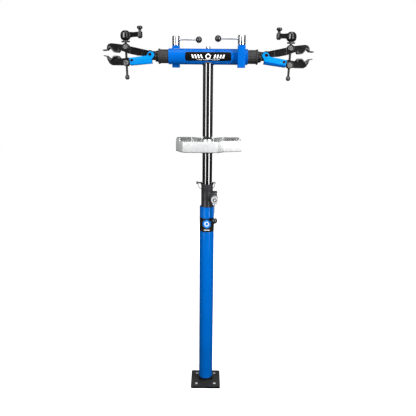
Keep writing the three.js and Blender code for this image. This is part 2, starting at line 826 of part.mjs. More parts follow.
function addLock(parent, name) {
  const line = (z) => at(-lugInset, -lugY, z);
  const wedge = cut(
    rod(lugBoreRadius - gap, line(wedgeBottom), line(wedgeTop)),
    bore(sleeveRadius + gap, at(-lugInset - lugWidth, 0, 0), at(-lugInset + lugWidth, 0, 0), fine),
    bore(boltRadius + gap, line(wedgeBottom), line(wedgeTop)),
  );
  add(parent, `${name}_lock_wedge`, wedge, zincSteel);

  const boltFoot = wedgeBottom - gap - boltHeadHeight;
  const boltLength = lugHalfHeight + hubBoltReach - boltFoot;
  add(parent, `${name}_lock_bolt`, headedBolt(boltLength, line(boltFoot), at(0, 0, 1)), darkSteel);

  const lever = new THREE.Group();
  lever.position.copy(line(lugHalfHeight + gap));
  addLockLever(lever, `${name}_lever`);
  parent.add(lever);
}

function addArm(parent, name, facing, jawOpening, crankTurn) {
  const arm = new THREE.Group();
  arm.position.set(barHalfLength * Math.cos(facing), 0, barHeight);
  arm.rotation.z = facing;
  parent.add(arm);
  addArmCore(arm, name);
  addUpperJaw(arm, name);
  addLock(arm, name);
  add(arm, `${name}_pivot_bolt`, crossBolt(pivot, pivotBolt.radius, pivotBolt.head), darkSteel);

  const swing = new THREE.Group();
  swing.position.set(pivot.x, 0, pivot.z);
  swing.rotation.y = jawOpening;
  arm.add(swing);
  const jaw = new THREE.Group();
  jaw.position.set(-pivot.x, 0, -pivot.z);
  swing.add(jaw);
  addLowerJaw(jaw, name);

  const turnJaw = new THREE.Matrix4().makeRotationY(jawOpening);
  const nutPlace = at(lowerTrunnion.x - pivot.x, 0, lowerTrunnion.z - pivot.z).applyMatrix4(turnJaw);
  nutPlace.add(at(pivot.x, 0, pivot.z));
  const screwLean = Math.atan2(upperTrunnion.x - nutPlace.x, upperTrunnion.z - nutPlace.z);

  const screw = new THREE.Group();
  screw.position.set(upperTrunnion.x, 0, upperTrunnion.z);
  screw.rotation.y = screwLean;
  arm.add(screw);
  addScrew(screw, name, crankTurn);

  const nut = new THREE.Group();
  nut.position.copy(nutPlace);
  nut.rotation.y = screwLean;
  arm.add(nut);
  add(nut, `${name}_lower_trunnion`, crossPin(lowerTrunnion.radius, rodRadius + nutSlip), zincSteel);
}

const group = new THREE.Group();
addBase(group);
addOuterPost(group);
addCollar(group);
addHeightLever(group);
addHitchPin(group);
addMast(group);
addBar(group);
addTray(group);
addArm(group, 'right', 0, 2.2 * degree, -38 * degree);
addArm(group, 'left', Math.PI, 0, 0);

export default group;
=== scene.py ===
"""Looks for the two-arm bike repair stand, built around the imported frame.

Metres, +Z up, -Y is the front.
"""
import json
import math

import bpy
from mathutils import Matrix, Vector


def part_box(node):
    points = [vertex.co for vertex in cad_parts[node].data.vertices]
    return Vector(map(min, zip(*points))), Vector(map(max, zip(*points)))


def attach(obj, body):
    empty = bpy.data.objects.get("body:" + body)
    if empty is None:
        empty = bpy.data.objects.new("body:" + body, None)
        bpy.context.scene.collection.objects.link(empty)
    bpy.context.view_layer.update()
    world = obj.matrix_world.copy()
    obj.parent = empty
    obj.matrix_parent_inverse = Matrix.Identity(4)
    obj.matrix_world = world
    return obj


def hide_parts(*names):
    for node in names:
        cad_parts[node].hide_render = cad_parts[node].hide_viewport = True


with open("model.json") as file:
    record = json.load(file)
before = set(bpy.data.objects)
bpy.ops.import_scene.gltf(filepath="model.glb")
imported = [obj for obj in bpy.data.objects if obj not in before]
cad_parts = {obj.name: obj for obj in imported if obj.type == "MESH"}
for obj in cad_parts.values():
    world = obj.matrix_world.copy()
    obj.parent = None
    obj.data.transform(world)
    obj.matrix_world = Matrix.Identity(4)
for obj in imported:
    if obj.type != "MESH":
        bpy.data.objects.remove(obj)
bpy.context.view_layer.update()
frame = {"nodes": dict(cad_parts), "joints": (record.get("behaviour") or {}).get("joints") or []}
MM = 0.001
UP = Vector((0, 0, 1))


# ---------------------------------------------------------------- sizes
POST_RADIUS = 31.1 * MM
MAST_RADIUS = 20.65 * MM
BAR_RADIUS = 30.5 * MM
BAR_BORE = 27.0 * MM
BAR_HALF_LENGTH = 157 * MM
BAR_HEIGHT = 1460 * MM
BAR_AXIS = Vector((0, 0, BAR_HEIGHT))
LUG_INSET = 27 * MM
LUG_OUT = 37.5 * MM
LUG_HALF = Vector((15 * MM, 15 * MM, 42.5 * MM))
LUG_ROOF = 36.5 * MM
LABEL_MIDDLE = 768.5 * MM
LABEL_HALF_HEIGHT = 30.5 * MM
LABEL_FILM = 0.22 * MM
LABEL_BACK = 0.04 * MM
SHANK_RADIUS = 5 * MM
BOLT_REACH = 41.5 * MM
PLATE_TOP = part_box("base_plate")[1].z
TRAY_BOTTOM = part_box("tray")[0].z

joints = {joint["name"]: joint for joint in frame["joints"]}
nodes = frame["nodes"]


# ---------------------------------------------------------------- camera, floor and light
def add_camera():
    """The viewing angle: level with the chest, 2.1 m away, pitched down, with a slight roll."""
    lens_data = bpy.data.cameras.new("camera")
    lens_data.lens = 43.88
    lens_data.sensor_width = 36.0
    camera = bpy.data.objects.new("camera", lens_data)
    bpy.context.scene.collection.objects.link(camera)
    camera.location = (0.0046, -2.1045, 1.3899)
    downward, tilt = 14.707, 0.5
    pitch = Matrix.Rotation(math.radians(90 - downward), 4, "X")
    roll = Matrix.Rotation(math.radians(tilt), 4, "Z")
    camera.rotation_euler = (pitch @ roll).to_euler()
    bpy.context.scene.camera = camera


def add_light(name, location, target, size, power):
    """A rectangular lamp of size (across, high), turned towards target."""
    data = bpy.data.lights.new(name, "AREA")
    data.shape = "RECTANGLE"
    data.size, data.size_y = size
    data.energy = power
    lamp = bpy.data.objects.new(name, data)
    bpy.context.scene.collection.objects.link(lamp)
    lamp.location = location
    aim = Vector(target) - Vector(location)
    lamp.rotation_euler = aim.to_track_quat("-Z", "Y").to_euler()
    return lamp


# ---------------------------------------------------------------- shader expressions
class Field:
    """A shader value on a surface. Arithmetic on it adds Math nodes; its methods add other nodes."""

    def __init__(self, paint, socket):
        self.paint = paint
        self.socket = socket

    def math(self, operation, *others):
        return self.paint.node("ShaderNodeMath", {"operation": operation}, [self, *others])

    def __add__(self, other):
        return self.math("ADD", other)

    def __sub__(self, other):
        return self.math("SUBTRACT", other)

    def __mul__(self, other):
        return self.math("MULTIPLY", other)

    def __truediv__(self, other):
        return self.math("DIVIDE", other)

    def __rsub__(self, other):
        return self.paint.node("ShaderNodeMath", {"operation": "SUBTRACT"}, [other, self])

    __radd__ = __add__
    __rmul__ = __mul__

    def above(self, edge, softness):
        """0 below edge, 1 above it, with a ramp of the given softness between."""
        return ((self - edge) / softness + 0.5).math("MAXIMUM", 0).math("MINIMUM", 1)

    def below(self, edge, softness):
        return 1 - self.above(edge, softness)

    def magnitude(self):
        return self.math("ABSOLUTE")

    def lighter(self, other):
        return self.math("MAXIMUM", other)


class Shading:
    """A node tree that Fields belong to."""

    def __init__(self, owner):
        owner.use_nodes = True
        self.tree = owner.node_tree

    def node(self, kind, settings, values, output=0):
        node = self.tree.nodes.new(kind)
        for key, value in settings.items():
            setattr(node, key, value)
        pairs = values.items() if isinstance(values, dict) else enumerate(values)
        for key, value in pairs:
            if isinstance(value, Field):
                self.tree.links.new(value.socket, node.inputs[key])
            else:
                node.inputs[key].default_value = value
        return Field(self, node.outputs[output])


class Paint(Shading):
    """A material with a Principled surface, whose varying sockets are set from Fields."""

    def __init__(self, name, color, roughness, metallic=0.0, coat=0.0, specular=0.5):
        self.material = bpy.data.materials.new(name)
        super().__init__(self.material)
        self.surface = self.tree.nodes["Principled BSDF"]
        self.color = (*color, 1.0)
        self.set("Base Color", self.color)
        self.set("Roughness", roughness)
        self.set("Metallic", metallic)
        self.set("Coat Weight", coat)
        self.set("Coat Roughness", 0.06)
        self.set("Specular IOR Level", specular)
        self.material.diffuse_color = self.color
        self.place = self.node("ShaderNodeTexCoord", {}, [], "Object")

    def set(self, name, value):
        socket = self.surface.inputs[name]
        if isinstance(value, Field):
            self.tree.links.new(value.socket, socket)
        else:
            socket.default_value = value

    def axis(self, letter):
        return self.node("ShaderNodeSeparateXYZ", {}, [self.place], letter)

    def stretched(self, scale):
        """The object's own coordinates, scaled along each axis."""
        return self.node("ShaderNodeVectorMath", {"operation": "MULTIPLY"}, [self.place, scale])

    def noise(self, scale, detail=3.0, place=None):
        values = {"Vector": place or self.place, "Scale": scale, "Detail": detail}
        return self.node("ShaderNodeTexNoise", {}, values, "Fac")

    def cells(self, scale):
        values = {"Vector": self.place, "Scale": scale}
        return self.node("ShaderNodeTexVoronoi", {"feature": "F1"}, values, "Distance")

    def mix(self, factor, first, second):
        values = {"Factor": factor, 6: first, 7: second}
        return self.node("ShaderNodeMix", {"data_type": "RGBA"}, values, 2)

    def tint(self, amount):
        """The base colour made darker or lighter by a share."""
        return tuple(min(1.0, channel * amount) for channel in self.color[:3]) + (1.0,)

    def bump(self, height, distance, strength=1.0):
        values = {"Height": height, "Distance": distance, "Strength": strength}
        self.set("Normal", self.node("ShaderNodeBump", {}, values, "Normal"))


# ---------------------------------------------------------------- light and floor
def studio_world():
    """Soft light from both sides, dimmer behind; the camera sees plain white behind the stand."""
    world = bpy.data.worlds.new("studio")
    bpy.context.scene.world = world
    shading = Shading(world)
    facing = shading.node("ShaderNodeTexCoord", {}, [], "Generated")
    across, depth, height = (
        shading.node("ShaderNodeSeparateXYZ", {}, [facing], letter) for letter in "XYZ"
    )
    azimuth = shading.node(
        "ShaderNodeMath", {"operation": "ARCTAN2"}, [across.magnitude(), 0 - depth],
    )
    side_start, rear_start = 0.17, 1.75
    ambient, side_glow, rear_shade, below_floor = 0.05, 0.22, 0.16, 0.2
    soft_boxes = ambient + azimuth.above(side_start, 0.1) * side_glow
    soft_boxes = soft_boxes - azimuth.above(rear_start, 0.35) * rear_shade
    soft_boxes = soft_boxes * (below_floor + height.above(-0.05, 0.3) * (1 - below_floor))
    seen = shading.node("ShaderNodeLightPath", {}, [], "Is Camera Ray")
    strength = soft_boxes.math("MAXIMUM", seen)
    backdrop = world.node_tree.nodes["Background"]
    backdrop.inputs["Color"].default_value = (1, 1, 1, 1)
    world.node_tree.links.new(strength.socket, backdrop.inputs["Strength"])


def add_stage():
    studio_world()
    add_light("strip_right", (1.5, -1.7, 1.7), (0, 0, 1.0), (0.66, 2.8), 74)
    add_light("strip_left", (-1.5, -1.75, 1.7), (0, 0, 1.0), (0.6, 2.8), 46)
    add_light("top", (0.1, -0.4, 3.4), (0, 0, 1.2), (1.6, 1.2), 22)
    behind = add_light("behind", (0, 2.4, 1.6), (0, 0, 1.0), (1.1, 2.4), 36)
    behind.visible_glossy = False
    floor_size = 14
    bpy.ops.mesh.primitive_plane_add(size=floor_size)
    floor = bpy.context.active_object
    floor.name = "floor"
    floor.data.materials.append(pale_floor().material)
    floor.visible_diffuse = False
    floor.visible_glossy = False


def pale_floor():
    paint = Paint("floor", (0.93, 0.93, 0.93), 0.9)
    paint.set("Roughness", 0.84 + paint.noise(3, 2) * 0.1)
    paint.set("Emission Color", paint.color)
    paint.set("Emission Strength", 0.92)
    return paint


# ---------------------------------------------------------------- finishes
BLUE = (0.0003, 0.112, 0.5)
BRACKET_BLUE = (0.001, 0.25, 0.7)
CAST_BLACK = (0.006, 0.006, 0.0068)
CAST_ROUGHNESS = 0.38
POST_BLUE = (0.0003, 0.124, 0.52)
FOLD_SHADE_BLUE = (0.0004, 0.075, 0.33, 1)
BLUE_GLINT = (0.3, 0.75, 1.0)
WORN_STEEL_AND_HOLE_LIGHT = (0.8, 0.8, 0.8, 1)
PLATE_DUST_AND_TOP_LIGHT = (0.034, 0.033, 0.033, 1)
TRAY_BOTTOM_SHADE = (0.2, 0.17, 0.15, 1)
LABEL_BLUE = (0.008, 0.24, 0.82, 1)
LABEL_WHITE = (0.85, 0.85, 0.84, 1)
BAR_LABEL_WHITE = (0.88, 0.88, 0.88, 1)


def powder_coat(name, color, roughness, coat, glint=(1, 1, 1)):
    """Sprayed and baked paint: orange-peel ripple, faint mottling, dust in the roughness."""
    paint = Paint(name, color, roughness, coat=coat, specular=0.2)
    paint.surface.inputs["Specular Tint"].default_value = (*glint, 1)
    peel = paint.noise(420, 2)
    cloud = paint.noise(9, 4)
    paint.set("Base Color", paint.mix(cloud, paint.tint(0.86), paint.tint(1.12)))
    paint.set("Roughness", roughness + (cloud - 0.5) * 0.16 + (peel - 0.5) * 0.06)
    paint.bump(peel, 0.00004)
    return paint


def fold_shaded_blue(name):
    """Bracket coat, with painted shade in a dark band along the folded lower edge, which slopes down
    to the tip.
    """
    paint = powder_coat(name, BRACKET_BLUE, 0.34, 0.03, glint=BLUE_GLINT)
    root, root_height = 222 * MM, 1431.5 * MM
    slope, lean_right, rise = 0.143, 0.019, 4.2 * MM
    band, softness, left_share = 12 * MM, 1.4 * MM, 0.2
    across = paint.axis("X")
    # The right arm's edge hangs lower than the left arm's, because its jaw is open wider.
    fall = (across.magnitude() - root) * slope + across * lean_right - rise
    # Painted shade: a dark band over the folded lower edge stands in for the shade under the bend; it
    # is fainter on the left arm.
    fold_shade = (paint.axis("Z") - root_height + fall).below(band, softness)
    fold_shade = fold_shade * (left_share + across.above(0, 0.1) * (1 - left_share))
    cloud = paint.noise(9, 4)
    face = paint.mix(cloud, paint.tint(0.86), paint.tint(1.12))
    paint.set("Base Color", paint.mix(fold_shade, face, FOLD_SHADE_BLUE))
    return paint


def textured_cast(name, color, roughness):
    """Black coat over a casting: a fine pebbled texture with rubbed patches."""
    paint = Paint(name, color, roughness, specular=0.35)
    pebble = paint.cells(900) + paint.noise(260, 3) * 0.8
    rub = paint.noise(38, 4).above(0.56, 0.16)
    paint.set("Base Color", paint.mix(rub, paint.color, paint.tint(1.8)))
    paint.set("Roughness", roughness - rub * 0.1)
    paint.bump(pebble, 0.00007, 0.7)
    return paint


def plate_black(name):
    """The plate's black coat: dust on a top painted lighter, and bare steel painted bright round the
    bolt holes.
    """
    paint = textured_cast(name, CAST_BLACK, CAST_ROUGHNESS)
    # Painted light: the top is made lighter, as light from above leaves it, patched with dust.
    top = paint.axis("Z").above(PLATE_TOP - 0.6 * MM, 0.8 * MM)
    dust = paint.noise(230, 4).above(0.45, 0.3)
    # Painted highlight: pale rings of steel rubbed bare round the bolt holes also stand in for the
    # bright floor seen through them.
    aside = paint.axis("X").magnitude() - BOLT_REACH
    ahead = paint.axis("Y").magnitude() - BOLT_REACH
    worn_and_lit_rims = (aside * aside + ahead * ahead).math("SQRT").below(5.8 * MM, 0.8 * MM)
    coat = paint.mix(top * (0.3 + dust * 0.7), paint.color, PLATE_DUST_AND_TOP_LIGHT)
    paint.set("Base Color", paint.mix(worn_and_lit_rims, coat, WORN_STEEL_AND_HOLE_LIGHT))
    return paint


def polished_chrome(name, metallic=1.0):
    paint = Paint(name, (0.86, 0.87, 0.88), 0.07, metallic=metallic)
    smudge = paint.noise(55, 5)
    paint.set("Roughness", 0.05 + smudge * 0.09)
    paint.set("Base Color", paint.mix(smudge, (0.92, 0.93, 0.94, 1), (0.78, 0.79, 0.8, 1)))
    paint.bump(paint.noise(600, 2), 0.00001)
    return paint


def plated_steel(name, color, roughness):
    """Machined and plated steel with fine tool marks and clouding."""
    paint = Paint(name, color, roughness, metallic=1.0)
    marks = paint.noise(1.0, 3, paint.stretched((60, 60, 900)))
    cloud = paint.noise(70, 4)
    paint.set("Base Color", paint.mix(cloud, paint.tint(0.72), paint.tint(1.2)))
    paint.set("Roughness", roughness + (marks - 0.5) * 0.2 + (cloud - 0.5) * 0.12)
    paint.bump(marks, 0.00003)
    return paint


def rubbed_black_steel(name):
    paint = Paint(name, (0.035, 0.03, 0.028), 0.4, metallic=0.85)
    cloud = paint.noise(160, 4)
    paint.set("Base Color", paint.mix(cloud, paint.tint(0.6), paint.tint(2.0)))
    paint.set("Roughness", 0.34 + cloud * 0.2)
    paint.bump(paint.noise(700, 2), 0.00003)
    return paint


def phenolic(name):
    """Polished black thermoset: deep gloss with faint moulding flow."""
    paint = Paint(name, (0.006, 0.006, 0.0065), 0.16, coat=0.5)
    flow = paint.noise(60, 5)
    paint.set("Roughness", 0.1 + flow * 0.16)
    paint.set("Base Color", paint.mix(flow, paint.color, paint.tint(2.2)))
    paint.bump(paint.noise(300, 2), 0.00002)
    return paint


def moulded_sleeve(name):
    paint = Paint(name, (0.02, 0.0195, 0.0195), 0.5, specular=0.4)
    flow = paint.noise(120, 4)
    paint.set("Base Color", paint.mix(flow, paint.tint(0.75), paint.tint(1.5)))
    paint.set("Roughness", 0.46 + flow * 0.2)
    paint.bump(paint.noise(500, 3), 0.00006)
    return paint


def jaw_rubber(name):
    """Dark rubber with a pebbled grain, scuffed paler where tubes have rubbed it."""
    paint = Paint(name, (0.045, 0.045, 0.046), 0.5, specular=0.45)
    scuff = paint.noise(90, 5).above(0.54, 0.18)
    paint.set("Base Color", paint.mix(scuff, paint.tint(0.6), paint.tint(3.0)))
    paint.set("Roughness", 0.46 + scuff * 0.16)
    paint.bump(paint.cells(1300) + scuff * 0.4, 0.00012, 0.8)
    return paint


def bright_tray(name):
    """Rolled bright-plated sheet, rubbed to a pale satin on its front wall by the tools hung there."""
    paint = Paint(name, (0.68, 0.685, 0.69), 0.26, metallic=0.9)
    marks = paint.noise(1.0, 3, paint.stretched((30, 900, 900)))
    spangle = paint.cells(75)
    scratch = paint.noise(1.0, 2, paint.stretched((40, 1500, 300))).above(0.63, 0.05)
    back = paint.axis("Y").above(-0.03, 0.03)
    # Painted shade: the sheet is darkened to a brownish tone along its bottom edge.
    bottom_shade = paint.axis("Z").below(TRAY_BOTTOM + 2.4 * MM, 1.2 * MM)
    sheet = paint.mix(spangle, paint.tint(1.12), paint.tint(0.88))
    paint.set("Base Color", paint.mix(bottom_shade, sheet, TRAY_BOTTOM_SHADE))
    facet_start, facet_end, facet_edge = 40.5 * MM, 65.5 * MM, 0.6 * MM
    across = paint.axis("X")
    corner = across.above(facet_start, facet_edge) * across.below(facet_end, facet_edge)
    bright = back.lighter(corner * 0.62)
    paint.set("Metallic", 0.3 + bright * 0.66)
    paint.set("Roughness", 0.36 - back * 0.16 + marks * 0.08 + spangle * 0.06 + scratch * 0.1)
    paint.bump(marks + scratch * 0.6, 0.000005)
    return paint


def gloss_enamel(name):
    """Deep black enamel with long faint draw marks and small lengthwise rubs."""
    paint = Paint(name, (0.003, 0.003, 0.004), 0.07, coat=1.0, specular=1.0)
    paint.surface.inputs["Coat IOR"].default_value = 1.8
    draw = paint.noise(1.0, 2, paint.stretched((260, 260, 2.5)))
    rub = paint.noise(1.0, 3, paint.stretched((500, 500, 6))).above(0.62, 0.1)
    paint.set("Base Color", paint.mix(rub, paint.color, paint.tint(3.0)))
    paint.set("Roughness", 0.05 + draw * 0.05 + rub * 0.08)
    paint.bump(draw, 0.000002)
    return paint


def turn_from_front(paint, aside):
    """The angle round a tube's surface, from the tube's front towards aside."""
    return paint.node("ShaderNodeMath", {"operation": "ARCTAN2"}, [aside, 0 - paint.axis("Y")])


def label_film(paint, marks, under, pale, roughness):
    """Pale marks printed over what is under them, on a film with a faint grain."""
    paint.set("Base Color", paint.mix(marks, under, pale))
    paint.set("Roughness", roughness + paint.noise(160, 3) * 0.14)
    paint.bump(paint.noise(300, 2), 0.00001)
    return paint


def ring_mark(along, high, softness):
    """A printed ring round the point where along and high are both 0."""
    radius, half_width = 8.5 * MM, 2.2 * MM
    centre = (along * along + high * high).math("SQRT")
    return (centre - radius).magnitude().below(half_width, softness)


def post_label(name):
    """Wrap-round label: black film with a blue hexagon, a pale ring in it and a pale line below."""
    emblem_rise, hexagon_half = 6 * MM, 17.5 * MM
    line_drop, line_half_height, line_half_length = 21.5 * MM, 1.6 * MM, 13 * MM
    softness, cos_60, sin_60 = 0.6 * MM, 0.5, 0.866
    paint = Paint(name, (0.014, 0.012, 0.012), 0.32, specular=0.25)
    along = turn_from_front(paint, paint.axis("X")) * POST_RADIUS
    high = paint.axis("Z") - LABEL_MIDDLE
    rise = high - emblem_rise
    aside = along.magnitude()
    hexagon = aside.lighter(aside * cos_60 + rise.magnitude() * sin_60)
    line = (high + line_drop).magnitude().below(line_half_height, 0.5 * MM)
    line = line * aside.below(line_half_length, softness)
    marks = ring_mark(along, rise, softness).lighter(line)
    blue = paint.mix(hexagon.below(hexagon_half, softness), paint.color, LABEL_BLUE)
    return label_film(paint, marks, blue, LABEL_WHITE, 0.26)


def bar_label(name, half_length):
    """Long black label with a pale keyline and a row of slanted pale bars either side of a ring."""
    letter_pitch, letter_share, slant = 11.5 * MM, 0.56, 0.3
    row_start, row_end, row_half_height = 19 * MM, 65 * MM, 7.2 * MM
    keyline_drop, keyline_half_height, softness = 12.5 * MM, 0.8 * MM, 0.5 * MM
    paint = Paint(name, (0.004, 0.004, 0.0045), 0.28, specular=0.2)
    along = paint.axis("X")
    aside = along.magnitude()
    high = turn_from_front(paint, paint.axis("Z") - BAR_HEIGHT) * BAR_RADIUS
    lean = aside - high * slant
    stripe = (lean / letter_pitch).math("FRACT").below(letter_share, 0.05)
    row = lean.above(row_start, softness) * lean.below(row_end, softness)
    row = row * high.magnitude().below(row_half_height, softness)
    keyline = (high + keyline_drop).magnitude().below(keyline_half_height, 0.3 * MM)
    keyline = keyline * aside.below(half_length * 0.5, 1 * MM)
    marks = ring_mark(along, high, 0.4 * MM).lighter(stripe * row).lighter(keyline)
    return label_film(paint, marks, paint.color, BAR_LABEL_WHITE, 0.22)


# ---------------------------------------------------------------- modelling tools
def nothing_selected():
    if bpy.context.object and bpy.context.object.mode != "OBJECT":
        bpy.ops.object.mode_set(mode="OBJECT")
    bpy.ops.object.select_all(action="DESELECT")


def only(piece):
    nothing_selected()
    piece.select_set(True)
    bpy.context.view_layer.objects.active = piece


def edit(piece, action="SELECT"):
    only(piece)
    bpy.ops.object.mode_set(mode="EDIT")
    bpy.ops.mesh.select_mode(type="VERT")
    bpy.ops.mesh.select_all(action=action)


def object_mode():
    bpy.ops.object.mode_set(mode="OBJECT")


def settle(piece):
    """Leaves the piece's place in its mesh, its object at the origin and its faces outwards."""
    only(piece)
    bpy.ops.object.transform_apply(location=True, rotation=True, scale=True)
    edit(piece)
    bpy.ops.mesh.remove_doubles(threshold=0.00002)
    bpy.ops.mesh.normals_make_consistent(inside=False)
    object_mode()


def modify(piece, kind, **settings):
    """Adds a modifier with these settings and applies it."""
    only(piece)
    modifier = piece.modifiers.new(kind, kind)
    for key, value in settings.items():
        setattr(modifier, key, value)
    bpy.ops.object.modifier_apply(modifier=modifier.name)


def rounded(piece, width, segments=3):
    """Breaks the sharp edges with a small radius."""
    sharp = math.radians(32)
    modify(
        piece, "BEVEL", width=width, segments=segments, limit_method="ANGLE", angle_limit=sharp,
    )


def smooth(piece, angle=38):
    only(piece)
    bpy.ops.object.shade_smooth_by_angle(angle=math.radians(angle))


def finish_piece(piece, name, paint, body, replaced=()):
    piece.name = name
    piece.data.name = name
    piece.data.materials.clear()
    piece.data.materials.append(paint.material)
    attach(piece, body)
    if replaced:
        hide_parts(*replaced)


def frame_on(foot, direction):
    """The matrix that stands a piece made along +Z on foot, pointing in direction."""
    turn = UP.rotation_difference(Vector(direction)).to_matrix().to_4x4()
    return Matrix.Translation(Vector(foot)) @ turn


def turned(rows, foot=(0, 0, 0), direction=(0, 0, 1), sides=48, ring=False):
    """A turned piece: a circle, extruded and resized through rows of (radius, height)."""
    nothing_selected()
    radius, height = rows[0]
    bpy.ops.mesh.primitive_circle_add(vertices=sides, radius=radius, location=(0, 0, height))
    piece = bpy.context.active_object
    bpy.ops.object.transform_apply(location=True, rotation=False, scale=False)
    edit(piece)
    for new_radius, new_height in rows[1:]:
        bpy.ops.mesh.extrude_region_move(TRANSFORM_OT_translate={"value": (0, 0, new_height - height)})
        share = new_radius / radius
        bpy.ops.transform.resize(value=(share, share, 1), center_override=(0, 0, new_height))
        radius, height = new_radius, new_height
    if not ring:
        bpy.ops.mesh.select_all(action="SELECT")
        bpy.ops.mesh.fill_holes(sides=0)
    object_mode()
    piece.matrix_world = frame_on(foot, direction)
    settle(piece)
    return piece


def in_metres(rows):
    """Rows of (radius, height) in millimetres, as metres."""
    return [(radius * MM, height * MM) for radius, height in rows]


def pipe(outer, inner, low, high, foot=(0, 0, 0), direction=(0, 0, 1), sides=64):
    rows = [(outer, low), (outer, high), (inner, high), (inner, low), (outer, low)]
    return turned(rows, foot, direction, sides, ring=True)


def cad_copy(node, flat=True):
    """A CAD piece's own shape with its loose triangles merged and, if flat, its flat faces joined."""
    source = frame["nodes"][node]
    piece = bpy.data.objects.new(node + "_shape", source.data.copy())
    bpy.context.scene.collection.objects.link(piece)
    edit(piece)
    bpy.ops.mesh.remove_doubles(threshold=0.00001)
    if flat:
        bpy.ops.mesh.dissolve_limited(angle_limit=math.radians(1.0))
    object_mode()
    return piece


def merged(*pieces):
    nothing_selected()
    for piece in pieces:
        piece.select_set(True)
    bpy.context.view_layer.objects.active = pieces[0]
    bpy.ops.object.join()
    return pieces[0]


def middle_of(node):
    low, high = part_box(node)
    return (low + high) / 2


def carve(piece, tool, operation="DIFFERENCE"):
    """Cuts the tool's shape out of the piece, keeps only what is inside it, or joins it on."""
    modify(piece, "BOOLEAN", operation=operation, solver="EXACT", object=tool)
    bpy.data.objects.remove(tool)


def block(low, high):
    """A box between two corners."""
    nothing_selected()
    low, high = Vector(low), Vector(high)
    bpy.ops.mesh.primitive_cube_add(size=1, location=(low + high) / 2)
    piece = bpy.context.active_object
    piece.scale = high - low
    only(piece)
    bpy.ops.object.transform_apply(location=True, rotation=True, scale=True)
    return piece


def bevel_edges(piece, chosen, width):
    """Bevels the edges whose two ends pass the chosen test."""
    edit(piece, "DESELECT")
    bpy.ops.mesh.select_mode(type="EDGE")
    object_mode()
    for edge in piece.data.edges:
        edge.select = chosen(*(piece.data.vertices[index].co for index in edge.vertices))
    bpy.ops.object.mode_set(mode="EDIT")
    bpy.ops.mesh.bevel(offset=width, segments=6, affect="EDGES")
    object_mode()


def runs_front_to_back(first, second):
    return abs(first.y - second.y) > 0.99 * (first - second).length


def press_flutes(piece, low, high, count, depth, radius):
    """Presses lengthwise flutes into the skin of a round piece that stands on +Z."""
    edit(piece, "DESELECT")
    object_mode()
    flute_start, flute_end, nudge, slack = 0.45, 0.95, 0.01, 0.3 * MM
    for vertex in piece.data.vertices:
        turn = math.atan2(vertex.co.y, vertex.co.x) / math.tau * count
        hollow = flute_start < (turn + nudge) % 1 < flute_end
        skin = abs(vertex.co.xy.length - radius) < slack
        vertex.select = hollow and skin and low < vertex.co.z < high
    bpy.ops.object.mode_set(mode="EDIT")
    share = 1 - depth / radius
    bpy.ops.transform.resize(value=(share, share, 1), center_override=(0, 0, 0))
    object_mode()


def cast_skin(piece, voxel, passes):
    """Blends the joins of a casting as a mould's fillets do."""
    modify(piece, "REMESH", mode="VOXEL", voxel_size=voxel)
    modify(piece, "SMOOTH", factor=0.5, iterations=passes)
    bpy.ops.object.shade_smooth()


def wire_piece(points, radius):
    """A round wire along given points, as a closed mesh."""
    nothing_selected()
    bpy.ops.curve.primitive_nurbs_path_add()
    wire = bpy.context.active_object
    spline = wire.data.splines[0]
    spline.points.add(len(points) - len(spline.points))
    for point, place in zip(spline.points, points):
        point.co = (*place, 1)
    spline.order_u = 3
    spline.use_endpoint_u = True
    wire.data.bevel_depth = radius
    wire.data.bevel_resolution = 3
    wire.data.use_fill_caps = True
    wire.data.resolution_u = 6
    bpy.ops.object.convert(target="MESH")
    settle(wire)
    return wire


def hex_head(foot, direction, across, height, crown):
    """A hexagon head: a six-sided bar whose corners are turned off at the top."""
    radius = across / math.sqrt(3)
    rows = [(radius, 0), (radius, height - crown), (radius * 0.86, height)]
    head = turned(rows, foot, direction, sides=6)
    rounded(head, 0.5 * MM, 2)
    return head


def hex_bolt(foot, direction, across, height, length, crown=1.2 * MM):
    """A hexagon head on foot, and below it a plain shank that reaches length from the head's top."""
    head = hex_head(foot, direction, across, height, crown)
    overlap = 0.2 * MM
    start = Vector(foot) + Vector(direction) * overlap
    reach = length - height + overlap
    shank = turned([(SHANK_RADIUS, 0), (SHANK_RADIUS, reach)], start, -Vector(direction), 32)
    bolt = merged(head, shank)
    smooth(bolt)
    return bolt


# ---------------------------------------------------------------- materials of this stand
blue = powder_coat("bar_blue", BLUE, 0.3, 0.03, glint=BLUE_GLINT)
post_blue = powder_coat("post_blue", POST_BLUE, 0.2, 0.06, glint=BLUE_GLINT)
bracket_blue = fold_shaded_blue("bracket_blue")
enamel = gloss_enamel("gloss_enamel")
cast = textured_cast("cast_black", CAST_BLACK, CAST_ROUGHNESS)
collar_grey = textured_cast("collar_grey", (0.026, 0.026, 0.029), 0.3)
arm_black = textured_cast("arm_black", (0.003, 0.003, 0.0035), 0.28)
sleeve_black = moulded_sleeve("sleeve_black")
chrome = polished_chrome("chrome")
satin_chrome = polished_chrome("satin_chrome", 0.4)
zinc = plated_steel("zinc_steel", (0.4, 0.4, 0.39), 0.3)
dark_steel = rubbed_black_steel("dark_steel")
ball_black = phenolic("ball_black")
rubber = jaw_rubber("jaw_rubber")
tray_metal = bright_tray("tray_steel")
crank_black = powder_coat("crank_black", (0.005, 0.005, 0.0058), 0.16, 0.8)
bolt_brown = plated_steel("bolt_brown", (0.05, 0.02, 0.016), 0.42)

HIDDEN_INSIDE = {
    "mast_plug": zinc,
    "left_shaft": zinc,
    "right_shaft": zinc,
    "left_lock_wedge": zinc,
    "right_lock_wedge": zinc,
    "left_lock_bolt": dark_steel,
    "right_lock_bolt": dark_steel,
}
for hidden_node, finish in HIDDEN_INSIDE.items():
    nodes[hidden_node].data.materials.clear()
    nodes[hidden_node].data.materials.append(finish.material)


